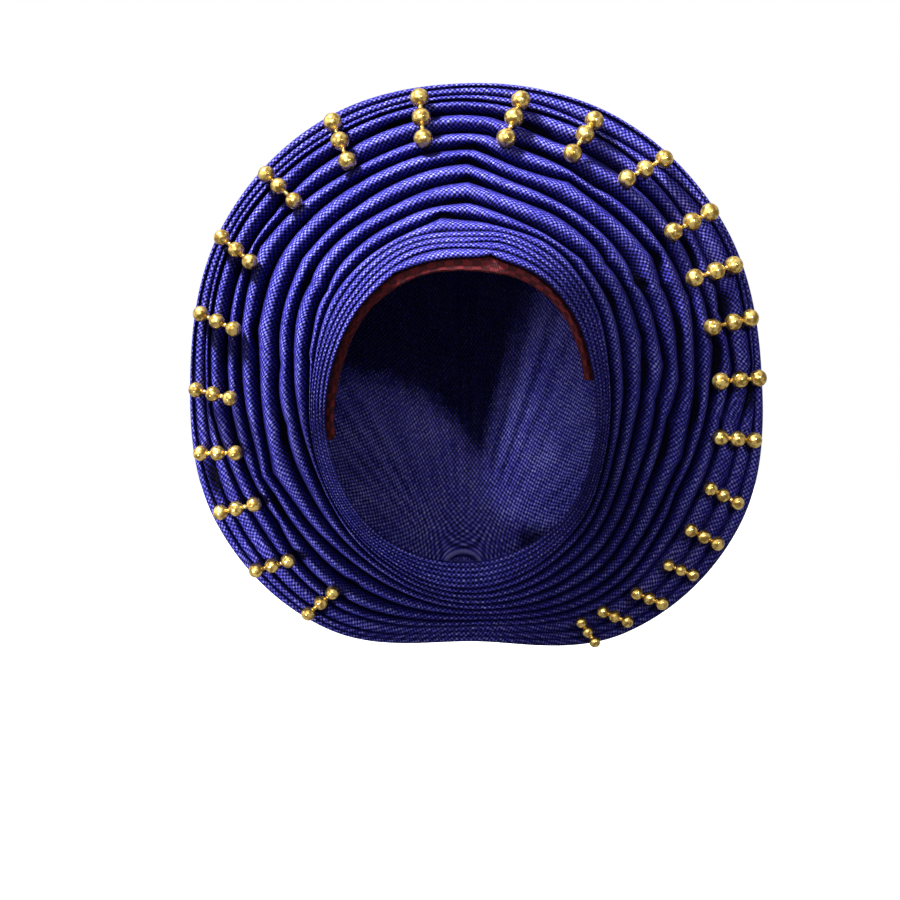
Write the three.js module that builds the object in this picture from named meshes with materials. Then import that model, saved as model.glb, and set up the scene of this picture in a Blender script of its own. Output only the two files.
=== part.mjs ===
// Tied gele head tie: a ring of pleats round an opening, a gathered wrap behind it, a band under
// the inner edge, a knot at the nape and strips of three beads over the rim.
// Millimetres. +Z is up, the opening faces -Y, and the origin is where the crown sits.
import * as THREE from 'three';

// Places round the opening are given by a clock angle in degrees: 0 is up, and positive angles go
// towards +X. The pleats run round a fan centre in the plane of X and Z.
const fanCentre = { x: 6.7, z: -96.9 };
const stationCount = 36;

// The two edges of the pleated ring, a row for each clock angle: radius from the fan centre, and
// depth, which is the y coordinate. The ring flares like the bell of a trumpet between them.
const edges = [
  { clock: -150, innerRadius: 99, innerDepth: 46, rimRadius: 156.5, rimDepth: 48 },
  { clock: -120, innerRadius: 86.5, innerDepth: -12, rimRadius: 157, rimDepth: 20 },
  { clock: -90, innerRadius: 73, innerDepth: -47, rimRadius: 148.5, rimDepth: 4 },
  { clock: -60, innerRadius: 65.5, innerDepth: -68, rimRadius: 151.5, rimDepth: -3 },
  { clock: -30, innerRadius: 59, innerDepth: -84, rimRadius: 152.5, rimDepth: -6 },
  { clock: -5, innerRadius: 55, innerDepth: -90, rimRadius: 149.5, rimDepth: -6 },
  { clock: 12, innerRadius: 54.5, innerDepth: -89, rimRadius: 150, rimDepth: -6 },
  { clock: 30, innerRadius: 55, innerDepth: -84, rimRadius: 151, rimDepth: -6 },
  { clock: 60, innerRadius: 55.5, innerDepth: -68, rimRadius: 149.5, rimDepth: -3 },
  { clock: 90, innerRadius: 58.5, innerDepth: -47, rimRadius: 148.5, rimDepth: 4 },
  { clock: 120, innerRadius: 70.5, innerDepth: -12, rimRadius: 160, rimDepth: 20 },
  { clock: 150, innerRadius: 90, innerDepth: 46, rimRadius: 159, rimDepth: 48 },
  { clock: 180, innerRadius: 100, innerDepth: 66, rimRadius: 143.5, rimDepth: 78 },
];
const flarePower = 1.5;

// The folds from the opening outwards: five narrow ones, seven wide rolls and three at the rim.
// Each row holds the visible width of one fold at the thirteen clock angles of the edges table.
const folds = [
  { roll: false, widths: [2, 1.5, 2.5, 3, 5.5, 5, 5, 4, 3, 2, 1.5, 2, 3] },
  { roll: false, widths: [1.5, 1.5, 2.5, 2.5, 3.5, 3, 4.5, 3, 2.5, 2, 1.5, 2, 3] },
  { roll: false, widths: [1.5, 1.5, 2, 2.5, 3, 3, 2.5, 3, 2, 2, 1.5, 2, 3] },
  { roll: false, widths: [1.5, 1.5, 1.5, 3.5, 3, 3, 3, 3, 2.5, 1.5, 1.5, 2, 3] },
  { roll: false, widths: [1.5, 1, 1.5, 4, 3, 6, 3, 4.5, 3, 1.5, 1.5, 2, 3] },
  { roll: true, widths: [1.5, 1, 1.5, 6.5, 8.5, 9, 6.5, 4, 7, 7.5, 5, 4.5, 3] },
  { roll: true, widths: [2.5, 2.5, 9, 10, 8.5, 11, 10.5, 11.5, 10.5, 9.5, 7, 6.5, 3] },
  { roll: true, widths: [3.5, 8.5, 8.5, 7, 9.5, 10, 8.5, 7.5, 8.5, 10.5, 8.5, 6.5, 3] },
  { roll: true, widths: [5, 10, 9.5, 11.5, 10, 8, 8, 10, 11.5, 8.5, 7, 6.5, 3] },
  { roll: true, widths: [8.5, 6, 9.5, 10, 8, 8.5, 10, 8.5, 9, 9.5, 10.5, 6.5, 3] },
  { roll: true, widths: [9, 8, 7.5, 6, 11, 10.5, 12, 12, 9.5, 8.5, 7, 5.5, 3] },
  { roll: true, widths: [5.5, 8, 9.5, 10, 9, 8, 10.5, 11, 7.5, 9.5, 9, 5.5, 3] },
  { roll: false, widths: [7, 8.5, 2, 2.5, 2.5, 2.5, 4, 3, 11.5, 10, 11, 8.5, 3] },
  { roll: false, widths: [3, 6, 6.5, 3.5, 4, 4, 6, 9, 2.5, 3, 9, 5, 3] },
  { roll: false, widths: [2.5, 4.5, 1.5, 2, 4, 2, 2, 2, 2, 4, 7.5, 4.5, 3] },
];
const rollSteps = [0, 0.2, 0.5, 0.8];
const narrowSteps = [0, 0.5];
const grooveShare = 0.5;
const deepestGroove = 5;
const clothWall = 1.8;
const pieceGap = 0.35;

// The wrap behind the ring shrinks from the rim to a hole at the nape, in soft radial gathers.
const napeCentre = { x: 0, y: 114, z: -205 };
const napeHoleRadius = 9.5;
const wrapWall = 2;
const gatherHeight = 3;
const wrapTuck = 1.15;
const wrapSteps = [0, 0.18, 0.38, 0.58, 0.78, 1];

// The band lies between two clock angles. It shows a few millimetres inside the inner edge, by the
// widths given at the clock angles of the edges table, and its far side slopes away behind the folds.
const band = { from: -115, to: 95, step: 10, wall: 1.8, hidden: 7.5, startBehind: 3.9, endBehind: 6.4 };
const bandShowing = [4.5, 4.5, 4.5, 4.5, 5.5, 6.5, 6.5, 5.5, 4.5, 4.5, 4.5, 4.5, 4.5];
const bandSteps = [0, 0.35, 1];

// The knot has a neck through the wrap's hole, and a round body whose outline is given as shares
// of its radius and its length.
const knot = { neckRadius: 8.6, neckTip: 6.9, neckLength: 6, bodyRadius: 17, bodyLength: 24, sides: 12 };
const knotBody = [
  { radius: 0.85, length: 0.12 },
  { radius: 1, length: 0.45 },
  { radius: 0.75, length: 0.85 },
  { radius: 0, length: 1 },
];

// Strips of three beads, a row each. The middle bead lies at the clock angle and radius given.
// The lean turns the strip from the line through the fan centre, and the last two columns are
// the spacings of the outer and the inner bead from the middle one, as seen from the front.
const beadStrips = [
  { clock: -146, radius: 146, lean: 15, bead: 6.8, outer: 8.7, inner: 8.1 },
  { clock: -133.4, radius: 147, lean: 27, bead: 7, outer: 8.8, inner: 8.8 },
  { clock: -119.6, radius: 143.7, lean: 16, bead: 7.2, outer: 8.4, inner: 9.8 },
  { clock: -107.4, radius: 140.6, lean: 17, bead: 7.2, outer: 8.8, inner: 9.4 },
  { clock: -94.8, radius: 136.6, lean: 19, bead: 7.2, outer: 9.1, inner: 9.4 },
  { clock: -79, radius: 136.2, lean: 14, bead: 7.4, outer: 9.4, inner: 9.7 },
  { clock: -63.1, radius: 138.6, lean: 14, bead: 7.6, outer: 9.9, inner: 9.7 },
  { clock: -46.8, radius: 139.3, lean: 1, bead: 7.8, outer: 9.1, inner: 11.2 },
  { clock: -30.6, radius: 137.5, lean: 10, bead: 8.7, outer: 10.8, inner: 11.5 },
  { clock: -12.2, radius: 133.2, lean: 7, bead: 8.9, outer: 10.8, inner: 11.4 },
  { clock: 8.5, radius: 131.6, lean: 12, bead: 9.1, outer: 10, inner: 11.8 },
  { clock: 24.7, radius: 133.7, lean: 8, bead: 8.9, outer: 9.2, inner: 12.1 },
  { clock: 39.9, radius: 135.5, lean: 21, bead: 8.5, outer: 11.4, inner: 10.9 },
  { clock: 55.3, radius: 135.2, lean: 6, bead: 8.7, outer: 10.7, inner: 11.3 },
  { clock: 67.3, radius: 133.9, lean: 4, bead: 8.7, outer: 10.1, inner: 11.8 },
  { clock: 79.1, radius: 135.2, lean: -3, bead: 8.5, outer: 9.1, inner: 11.1 },
  { clock: 91.7, radius: 136.6, lean: -7, bead: 8.2, outer: 9.6, inner: 10.1 },
  { clock: 104.3, radius: 140.2, lean: -10, bead: 7.8, outer: 8.6, inner: 9 },
  { clock: 116.4, radius: 143.8, lean: 1, bead: 7.2, outer: 8.5, inner: 7.4 },
  { clock: 125.7, radius: 146.9, lean: -9, bead: 6.8, outer: 8, inner: 7.6 },
  { clock: 133.8, radius: 149.4, lean: -22, bead: 6.4, outer: 6.7, inner: 6.9 },
  { clock: 142.3, radius: 149.9, lean: -31, bead: 6.4, outer: 7.1, inner: 7.1 },
  { clock: 150.1, radius: 148.2, lean: -39, bead: 6.2, outer: 7, inner: 6.6 },
  { clock: 156.4, radius: 149.6, lean: -11, bead: 5.7, outer: 6.4, inner: 6.1 },
];
const beadSides = 10;
const beadNeckRadius = 1.1;

// A bead comes to rest from a start in front of the ring, against the folds within its reach.
const restStart = -120;
const restSteps = 60;
const restReach = 35;

const degrees = Math.PI / 180;
const fullTurn = 360;

const blueCloth = new THREE.MeshStandardMaterial({ color: '#2f27b4', roughness: 0.55, metalness: 0.05 });
const maroonCloth = new THREE.MeshStandardMaterial({ color: '#5e1a22', roughness: 0.8, metalness: 0 });
const goldBead = new THREE.MeshStandardMaterial({ color: '#d6a436', roughness: 0.22, metalness: 1 });

// Smooth closed curve through the values at the clock angles of the edges table.
function roundClock(values, clock) {
  const count = values.length;
  const first = edges[0].clock;
  const turned = first + THREE.MathUtils.euclideanModulo(clock - first, fullTurn);
  const angleAt = (i) => edges[i % count].clock + fullTurn * Math.floor(i / count);
  const valueAt = (i) => values[i % count];
  const slopeAt = (i) => (valueAt(i + 1) - valueAt(i + count - 1))
    / (angleAt(i + 1) - angleAt(i + count - 1) + fullTurn);
  let k = 0;
  while (angleAt(k + 1) <= turned) k += 1;
  const span = angleAt(k + 1) - angleAt(k);
  const t = (turned - angleAt(k)) / span;
  const rise = valueAt(k + 1) - valueAt(k);
  const startSlope = slopeAt(k) * span;
  const endSlope = slopeAt(k + 1) * span;
  return valueAt(k) + t * startSlope + t * t * (3 * rise - 2 * startSlope - endSlope)
    + t * t * t * (startSlope + endSlope - 2 * rise);
}

const edgeColumn = (name) => edges.map((row) => row[name]);

function edgesAt(clock) {
  return {
    innerRadius: roundClock(edgeColumn('innerRadius'), clock),
    innerDepth: roundClock(edgeColumn('innerDepth'), clock),
    rimRadius: roundClock(edgeColumn('rimRadius'), clock),
    rimDepth: roundClock(edgeColumn('rimDepth'), clock),
  };
}

function placeAt(clock, radius, depth) {
  return new THREE.Vector3(
    fanCentre.x + Math.sin(clock * degrees) * radius,
    depth,
    fanCentre.z + Math.cos(clock * degrees) * radius,
  );
}

// Point on the flare that the folds' crests touch, moved straight back by the given distance. The
// share runs from 0 at the inner edge to 1 at the rim, and the flare is level inside its inner edge.
function flarePoint(clock, share, behind) {
  const edge = edgesAt(clock);
  const width = edge.rimRadius - edge.innerRadius;
  const drop = edge.rimDepth - edge.innerDepth;
  const left = THREE.MathUtils.clamp(1 - share, 0, 1);
  const depth = edge.innerDepth + drop * (1 - left ** flarePower);
  return placeAt(clock, edge.innerRadius + width * share, depth + behind);
}

// Widths of the folds at a clock angle, scaled to fill the ring, as shares of its width.
function foldShares(clock) {
  const widths = folds.map((fold) => roundClock(fold.widths, clock));
  const total = widths.reduce((sum, width) => sum + width, 0);
  const edge = edgesAt(clock);
  const millimetres = (edge.rimRadius - edge.innerRadius) / total;
  let start = 0;
  return widths.map((width) => {
    const groove = Math.min(width * millimetres * grooveShare, deepestGroove);
    const fold = { start, size: width / total, groove };
    start += fold.size;
    return fold;
  });
}

// Each fold is a round roll between two sharp grooves. A groove is as deep as the larger of the
// two folds beside it asks for, and the rim's edge is as deep as the last groove.
function grooveDepths(shares) {
  const between = shares.slice(1).map((share, i) => Math.max(share.groove, shares[i].groove));
  return [shares[0].groove, ...between, between[between.length - 1]];
}

function foldProfile(clock, stepsOf, behind) {
  const shares = foldShares(clock);
  const depths = grooveDepths(shares);
  const points = [];
  shares.forEach((share, i) => {
    stepsOf(folds[i]).forEach((step) => {
      const hollow = 1 - Math.sqrt(1 - (2 * step - 1) ** 2);
      const depth = step < 0.5 ? depths[i] : depths[i + 1];
      points.push(flarePoint(clock, share.start + step * share.size, behind + hollow * depth));
    });
  });
  points.push(flarePoint(clock, 1, behind + depths[folds.length]));
  return points;
}

// Joins rows of points, each a closed outline, into one skin. The rows themselves run round a
// full ring, or end in two caps that pair the first half of an outline with the second half.
function loftGeometry(rows, isRing) {
  const around = rows[0].length;
  const positions = rows.flat().flatMap((point) => point.toArray());
  const indices = [];
  const quad = (a, b, c, d) => indices.push(a, b, c, a, c, d);
  const lastRow = isRing ? rows.length : rows.length - 1;
  for (let i = 0; i < lastRow; i += 1) {
    const here = i * around;
    const next = ((i + 1) % rows.length) * around;
    for (let j = 0; j < around; j += 1) {
      const beside = (j + 1) % around;
      quad(here + j, here + beside, next + beside, next + j);
    }
  }
  if (!isRing) {
    const lastStart = (rows.length - 1) * around;
    for (let j = 0; j < around / 2 - 1; j += 1) {
      const across = around - 1 - j;
      quad(j, across, across - 1, j + 1);
      quad(lastStart + j, lastStart + j + 1, lastStart + across - 1, lastStart + across);
    }
  }
  const geometry = new THREE.BufferGeometry();
  geometry.setAttribute('position', new THREE.Float32BufferAttribute(positions, 3));
  geometry.setIndex(indices);
  faceOutwards(geometry);
  geometry.computeVertexNormals();
  return geometry;
}

// Turns every triangle over if the skin encloses a negative volume.
function faceOutwards(geometry) {
  const position = geometry.getAttribute('position');
  const index = geometry.getIndex().array;
  const corner = (i) => new THREE.Vector3().fromBufferAttribute(position, index[i]);
  let volume = 0;
  for (let i = 0; i < index.length; i += 3) {
    volume += corner(i).dot(corner(i + 1).cross(corner(i + 2)));
  }
  if (volume < 0) {
    for (let i = 0; i < index.length; i += 3) {
      [index[i], index[i + 1]] = [index[i + 1], index[i]];
    }
  }
}

function stations(from, to, step) {
  const count = Math.round((to - from) / step) + 1;
  return Array.from({ length: count }, (_, i) => from + i * step);
}

const ringStep = fullTurn / stationCount;
const ringStations = stations(-180, 180 - ringStep, ringStep);

function pleatedFan() {
  const frontSteps = (fold) => (fold.roll ? rollSteps : narrowSteps);
  const rows = ringStations.map((clock) => [
    ...foldProfile(clock, frontSteps, 0),
    ...foldProfile(clock, () => narrowSteps, clothWall).reverse(),
  ]);
  return namedMesh('pleated_fan', loftGeometry(rows, true), blueCloth);
}

// Behind the rim the wrap rounds over like a quarter ellipse while its outline shrinks towards
// the nape, tucked in a little more than the ellipse. The gathers are ridges on every other
// station, and they are highest halfway to the nape.
function wrapPoint(clock, step, inset) {
  const edge = edgesAt(clock);
  const rimGroove = grooveDepths(foldShares(clock))[folds.length];
  const start = edge.rimDepth + rimGroove + clothWall + pieceGap;
  const shrink = Math.max(Math.cos(step * Math.PI / 2), 0) ** wrapTuck;
  const rise = Math.sin(step * Math.PI / 2);
  const ridge = Math.round(clock / ringStep) % 2 === 0 ? 1 : -1;
  const gather = ridge * gatherHeight * (1 - (2 * step - 1) ** 2);
  const rimPlace = placeAt(clock, edge.rimRadius - inset, 0);
  const holePlace = new THREE.Vector3(
    napeCentre.x + Math.sin(clock * degrees) * napeHoleRadius,
    0,
    napeCentre.z + Math.cos(clock * degrees) * napeHoleRadius,
  );
  const place = holePlace.clone().lerp(rimPlace, shrink);
  const end = napeCentre.y - inset;
  const depth = start + (end - start) * rise;
  const outwards = new THREE.Vector3(Math.sin(clock * degrees), 0, Math.cos(clock * degrees));
  place.addScaledVector(outwards, gather * shrink);
  place.y = depth + gather * rise;
  return place;
}

function backWrap() {
  const rows = ringStations.map((clock) => [
    ...wrapSteps.map((step) => wrapPoint(clock, step, 0)),
    ...wrapSteps.map((step) => wrapPoint(clock, step, wrapWall)).reverse(),
  ]);
  return namedMesh('back_wrap', loftGeometry(rows, true), blueCloth);
}

function innerBand() {
  const rows = stations(band.from, band.to, band.step).map((clock) => {
    const edge = edgesAt(clock);
    const showing = roundClock(bandShowing, clock);
    const outline = (behind) => bandSteps.map((step) => {
      const across = step * (showing + band.hidden) - showing;
      const share = across / (edge.rimRadius - edge.innerRadius);
      const slope = THREE.MathUtils.lerp(band.startBehind, band.endBehind, step);
      return flarePoint(clock, share, slope + behind);
    });
    return [...outline(0), ...outline(band.wall).reverse()];
  });
  return namedMesh('inner_band', loftGeometry(rows, false), maroonCloth);
}

// The knot is turned about the depth axis.
function napeKnot() {
  const { neckRadius, neckTip, neckLength, bodyRadius, bodyLength, sides } = knot;
  const profile = [
    new THREE.Vector2(0, 0),
    new THREE.Vector2(neckTip, 0),
    new THREE.Vector2(neckRadius, neckLength),
    ...knotBody.map(({ radius, length }) => (
      new THREE.Vector2(radius * bodyRadius, neckLength + length * bodyLength)
    )),
  ];
  const mesh = namedMesh('nape_knot', new THREE.LatheGeometry(profile, sides), blueCloth);
  mesh.position.set(napeCentre.x, napeCentre.y - neckLength + pieceGap, napeCentre.z);
  return mesh;
}

// Three beads joined by thin necks, turned about the strip's own axis. The middle bead is at the
// origin, and the outer one is on the positive side.
function stripGeometry(bead, outer, inner) {
  const radius = bead / 2;
  const facet = radius * Math.SQRT1_2;
  const centres = [-inner, 0, outer];
  const profile = [new THREE.Vector2(0, -inner - radius)];
  centres.forEach((centre, i) => {
    profile.push(new THREE.Vector2(facet, centre - facet));
    profile.push(new THREE.Vector2(radius, centre));
    profile.push(new THREE.Vector2(facet, centre + facet));
    if (i < 2) profile.push(new THREE.Vector2(beadNeckRadius, (centre + centres[i + 1]) / 2));
  });
  profile.push(new THREE.Vector2(0, outer + radius));
  return new THREE.LatheGeometry(profile, beadSides);
}

// Triangles of a mesh that stands unturned at the origin.
function trianglesOf(mesh) {
  const position = mesh.geometry.getAttribute('position');
  const index = mesh.geometry.getIndex().array;
  const corner = (i) => new THREE.Vector3().fromBufferAttribute(position, index[i]);
  const triangles = [];
  for (let i = 0; i < index.length; i += 3) {
    triangles.push(new THREE.Triangle(corner(i), corner(i + 1), corner(i + 2)));
  }
  return triangles;
}

// Lets a bead go straight back from in front of the ring until it is the gap away from it. Each
// step is as long as the free space round the bead, so it never passes through a fold.
function restingBead(place, radius, triangles) {
  const centre = new THREE.Vector3(place.x, restStart, place.z);
  const nearby = triangles.filter(({ a }) => Math.hypot(a.x - place.x, a.z - place.z) < restReach);
  const closest = new THREE.Vector3();
  for (let i = 0; i < restSteps; i += 1) {
    const free = nearby.map((triangle) => triangle.closestPointToPoint(centre, closest).distanceTo(centre));
    centre.y += Math.min(...free) - radius - pieceGap;
  }
  return centre;
}

// The outer and the inner bead rest on the folds, and the strip is stretched by its slope. Where
// the middle bead would then lie too deep, the whole strip comes forward.
function beadStrip(row, i, triangles) {
  const { clock, radius, lean, bead, outer, inner } = row;
  const direction = (clock + lean) * degrees;
  const along = new THREE.Vector3(Math.sin(direction), 0, Math.cos(direction));
  const middle = placeAt(clock, radius, 0);
  const rest = (distance) => {
    const place = middle.clone().addScaledVector(along, distance);
    return restingBead(place, bead / 2, triangles);
  };
  const outerBead = rest(outer);
  const innerBead = rest(-inner);
  const line = outerBead.clone().sub(innerBead);
  const stretch = line.length() / (outer + inner);
  line.normalize();
  const centre = innerBead.addScaledVector(line, inner * stretch);
  centre.y = Math.min(centre.y, rest(0).y);
  const name = `bead_strip_${String(i + 1).padStart(2, '0')}`;
  const mesh = namedMesh(name, stripGeometry(bead, outer * stretch, inner * stretch), goldBead);
  mesh.position.copy(centre);
  mesh.quaternion.setFromUnitVectors(new THREE.Vector3(0, 1, 0), line);
  return mesh;
}

function namedMesh(name, geometry, material) {
  const mesh = new THREE.Mesh(geometry, material.clone());
  mesh.name = name;
  return mesh;
}

const headTie = new THREE.Group();
const fan = pleatedFan();
const fanTriangles = trianglesOf(fan);
const beadGroup = new THREE.Group();
beadGroup.add(...beadStrips.map((row, i) => beadStrip(row, i, fanTriangles)));
headTie.add(fan, backWrap(), innerBand(), napeKnot(), beadGroup);

export default headTie;
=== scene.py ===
# Tied gele head tie: pleated blue fan, gathered wrap, maroon band, nape knot and gold beads.
# Sizes are in millimetres in the tables and in metres in the meshes.
import math

import bmesh
import bpy
import numpy as np
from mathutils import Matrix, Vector


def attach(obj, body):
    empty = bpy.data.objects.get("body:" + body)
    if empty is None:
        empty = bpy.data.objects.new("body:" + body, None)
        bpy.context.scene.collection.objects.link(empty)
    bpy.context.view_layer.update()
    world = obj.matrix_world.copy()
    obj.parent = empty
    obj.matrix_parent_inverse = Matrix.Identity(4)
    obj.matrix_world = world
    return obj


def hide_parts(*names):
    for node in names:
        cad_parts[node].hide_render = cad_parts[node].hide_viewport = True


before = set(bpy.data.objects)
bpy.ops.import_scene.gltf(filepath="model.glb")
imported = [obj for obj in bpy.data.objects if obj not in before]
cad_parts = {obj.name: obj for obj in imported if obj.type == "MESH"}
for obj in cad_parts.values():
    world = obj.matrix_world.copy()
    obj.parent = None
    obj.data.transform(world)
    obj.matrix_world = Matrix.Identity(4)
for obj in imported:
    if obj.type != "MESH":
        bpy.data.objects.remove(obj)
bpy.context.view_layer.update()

mm = 0.001
turn = 2 * math.pi

# the pleats run round this point in the X and Z plane; a clock angle of 0 is up, 90 is +X
fanCentre = {"x": 6.7, "z": -96.9}

# the ring's two edges, a row for each clock angle: radius and depth (y) of each edge
edgeColumns = ("clock", "innerRadius", "innerDepth", "rimRadius", "rimDepth")
edgeRows = [
    (-150, 99, 46, 156.5, 48),
    (-120, 86.5, -12, 157, 20),
    (-90, 73, -47, 148.5, 4),
    (-60, 65.5, -68, 151.5, -3),
    (-30, 59, -84, 152.5, -6),
    (-5, 55, -90, 149.5, -6),
    (12, 54.5, -89, 150, -6),
    (30, 55, -84, 151, -6),
    (60, 55.5, -68, 149.5, -3),
    (90, 58.5, -47, 148.5, 4),
    (120, 70.5, -12, 160, 20),
    (150, 90, 46, 159, 48),
    (180, 100, 66, 143.5, 78),
]
edges = {name: np.array([row[i] for row in edgeRows], float) for i, name in enumerate(edgeColumns)}

# folds from the opening outwards: kind, then the visible width at each edge row's clock angle
foldRows = [
    ("narrow", (2, 1.5, 2.5, 3, 5.5, 5, 5, 4, 3, 2, 1.5, 2, 3)),
    ("narrow", (1.5, 1.5, 2.5, 2.5, 3.5, 3, 4.5, 3, 2.5, 2, 1.5, 2, 3)),
    ("narrow", (1.5, 1.5, 2, 2.5, 3, 3, 2.5, 3, 2, 2, 1.5, 2, 3)),
    ("narrow", (1.5, 1.5, 1.5, 3.5, 3, 3, 3, 3, 2.5, 1.5, 1.5, 2, 3)),
    ("narrow", (1.5, 1, 1.5, 4, 3, 6, 3, 4.5, 3, 1.5, 1.5, 2, 3)),
    ("roll", (1.5, 1, 1.5, 6.5, 8.5, 9, 6.5, 4, 7, 7.5, 5, 4.5, 3)),
    ("roll", (2.5, 2.5, 9, 10, 8.5, 11, 10.5, 11.5, 10.5, 9.5, 7, 6.5, 3)),
    ("roll", (3.5, 8.5, 8.5, 7, 9.5, 10, 8.5, 7.5, 8.5, 10.5, 8.5, 6.5, 3)),
    ("roll", (5, 10, 9.5, 11.5, 10, 8, 8, 10, 11.5, 8.5, 7, 6.5, 3)),
    ("roll", (8.5, 6, 9.5, 10, 8, 8.5, 10, 8.5, 9, 9.5, 10.5, 6.5, 3)),
    ("roll", (9, 8, 7.5, 6, 11, 10.5, 12, 12, 9.5, 8.5, 7, 5.5, 3)),
    ("roll", (5.5, 8, 9.5, 10, 9, 8, 10.5, 11, 7.5, 9.5, 9, 5.5, 3)),
    ("rim", (7, 8.5, 2, 2.5, 2.5, 2.5, 4, 3, 11.5, 10, 11, 8.5, 3)),
    ("rim", (3, 6, 6.5, 3.5, 4, 4, 6, 9, 2.5, 3, 9, 5, 3)),
    ("rim", (2.5, 4.5, 1.5, 2, 4, 2, 2, 2, 2, 4, 7.5, 4.5, 3)),
]
foldCount = len(foldRows)

# a groove's depth and a crest's place are shares of the fold's width; wander moves the grooves and
# ripple swells the crests, both in mm, and each fades out between two widths; innerFlank and
# flarePower are powers
fan = {
    "stations": 460,
    "samples": {"narrow": 7, "roll": 17, "rim": 9},
    "backSamples": {"narrow": 2, "roll": 2, "rim": 2},
    "crowding": 0.28,  # how much closer the samples lie near a crest and a groove
    "grooveShare": {"narrow": 0.5, "roll": 1.0, "rim": 0.6},
    "deepestGroove": 9.5,
    "crestPlace": {"narrow": 0.5, "roll": 0.64, "rim": 0.32},
    # shade and pocketShade scale the painted shade that darkens the grooves and the pockets
    "shade": {"narrow": 0.8, "roll": 1.0, "rim": 0.45},
    "innerFlank": 1.7,
    "pocketDepth": 4.0,
    "pocketShade": 1.3,
    "flarePower": 1.5,
    "wall": 1.8,
    "straightBackShare": 0.15,
    "wander": 0.3,
    "wanderSeed": 40,
    "wanderWaves": (5, 30),
    "wanderFade": (1, 6),
    "ripple": 0.1,
    "rippleSeed": 70,
    "rippleWaves": (8, 46),
    "rippleFade": (2, 7),
    "weaveStart": 37,
}

# kinks in the grooves: groove number, clock angle, shift outwards in mm, spread in degrees
kinkRows = [
    (0, -41, 1.8, 6),
    (0, 7, 2.6, 4),
    (5, -13, 2.8, 7),
    (6, -3, 0.9, 4),
    (7, -2.5, 1.3, 3.5),
    (8, -2.5, 1.5, 3.5),
    (9, -0.5, 1.6, 4),
    (9, 6, 0.7, 7),
    (10, 3, 2.6, 8),
    (11, 3, 1.6, 8),
    (11, 19, -1.6, 6),
    (6, -62, -2.0, 5),
    (7, -62, -2.2, 5),
    (8, -57, 1.2, 4),
    (10, -60, 2.6, 5),
    (11, -52, -1.4, 5),
    (6, -84, 1.4, 4),
    (8, -88, -1.6, 4),
    (9, -79, 1.5, 4),
    (9, 26, 2.6, 5),
    (10, 33, -1.6, 5),
    (6, 44, 1.4, 5),
    (7, 51, -1.5, 4),
    (8, 61, -2.2, 4),
    (9, 57, 1.6, 4),
    (9, 65, -2.2, 4),
    (10, 71, 1.6, 4),
    (11, 68, -1.6, 4),
    (12, 76, -3.2, 4),
    (11, 84, 1.6, 4),
    (7, 79, 1.6, 4),
    (8, 88, 2.0, 5),
    (8, 99, -2.0, 5),
    (9, 92, 1.8, 5),
    (9, 104, -2.0, 5),
    (12, 89, 2.2, 6),
    (12, 101, -2.2, 5),
    (13, 88, 2.4, 6),
    (13, 102, -2.8, 6),
    (10, 112, 1.8, 5),
    (11, 121, -1.8, 5),
    (9, -116, 3.0, 5),
    (10, -116, 2.6, 5),
    (8, -106, -1.8, 4),
    (11, -127, -2.0, 5),
    (12, -98, 1.6, 4),
]

# pockets beside the grooves, on the side away from the opening, sunk deeper and darkened with painted
# shade: groove number, clock angle, width in mm and spread in degrees
pocketRows = [
    (9, -0.5, 3.0, 4.5),
    (8, -2, 2.8, 3),
    (7, -2.5, 2.8, 3.5),
    (6, -6.5, 2.4, 4),
    (5, -12, 2.4, 4),
    (11, 12, 4.0, 5),
    (10, 16.5, 2.4, 5),
    (11, -17, 2.4, 5),
    (9, 58.5, 4.0, 2.2),
    (8, 62, 4.5, 2.6),
    (6, 62, 2.6, 4),
    (11, 61.5, 3.0, 4),
    (12, 75, 6.5, 3),
    (9, 79.5, 3.0, 4),
    (11, 86.5, 4.5, 4),
    (7, 90, 3.0, 4),
    (13, 95, 4.0, 4),
    (10, 100, 3.2, 4),
    (9, 112, 3.0, 5),
    (7, -62, 3.0, 3),
    (9, -80, 3.0, 3),
    (8, -107, 3.4, 4),
    (13, -112, 5.0, 4),
    (10, -124, 3.0, 4),
]


# periodic cubic through a table's values, with slopes from the neighbours on both sides
def roundClock(values, clock):
    rows = len(values)
    places = edges["clock"]
    wide = np.concatenate([places - 360, places, places + 360])
    high = np.tile(np.asarray(values, float), 3)
    slopes = np.gradient(high, wide)
    slopes[1:-1] = (high[2:] - high[:-2]) / (wide[2:] - wide[:-2])
    spot = places[0] + np.mod(clock - places[0], 360)
    k = np.clip(np.searchsorted(wide, spot, side="right") - 1, rows, 2 * rows - 1)
    span = wide[k + 1] - wide[k]
    t = (spot - wide[k]) / span
    rise = high[k + 1] - high[k]
    a, b = slopes[k] * span, slopes[k + 1] * span
    return high[k] + t * a + t**2 * (3 * rise - 2 * a - b) + t**3 * (a + b - 2 * rise)


# smooth seeded waves round the clock: a sum of whole-number cosines, between about -1 and 1
def clockWaves(seed, clock, lowest=3, highest=17):
    rng = np.random.default_rng(seed)
    counts = np.arange(lowest, highest)
    phases = rng.uniform(0, turn, len(counts))
    heights = rng.uniform(0.4, 1, len(counts)) / np.sqrt(counts)
    waves = np.cos(np.radians(clock)[..., None] * counts + phases) * heights
    return waves.sum(-1) / heights.sum() * 2


# place of a point at a clock angle, radius and depth, in millimetres
def placeAt(clock, radius, depth):
    angle = np.radians(clock)
    x = fanCentre["x"] + np.sin(angle) * radius
    z = fanCentre["z"] + np.cos(angle) * radius
    return np.stack([x, depth + 0 * x, z], -1)


# 0 below low, 1 above high, and 3t^2 - 2t^3 between them
def smoothStep(value, low, high):
    t = np.clip((value - low) / (high - low), 0, 1)
    return t * t * (3 - 2 * t)


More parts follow.
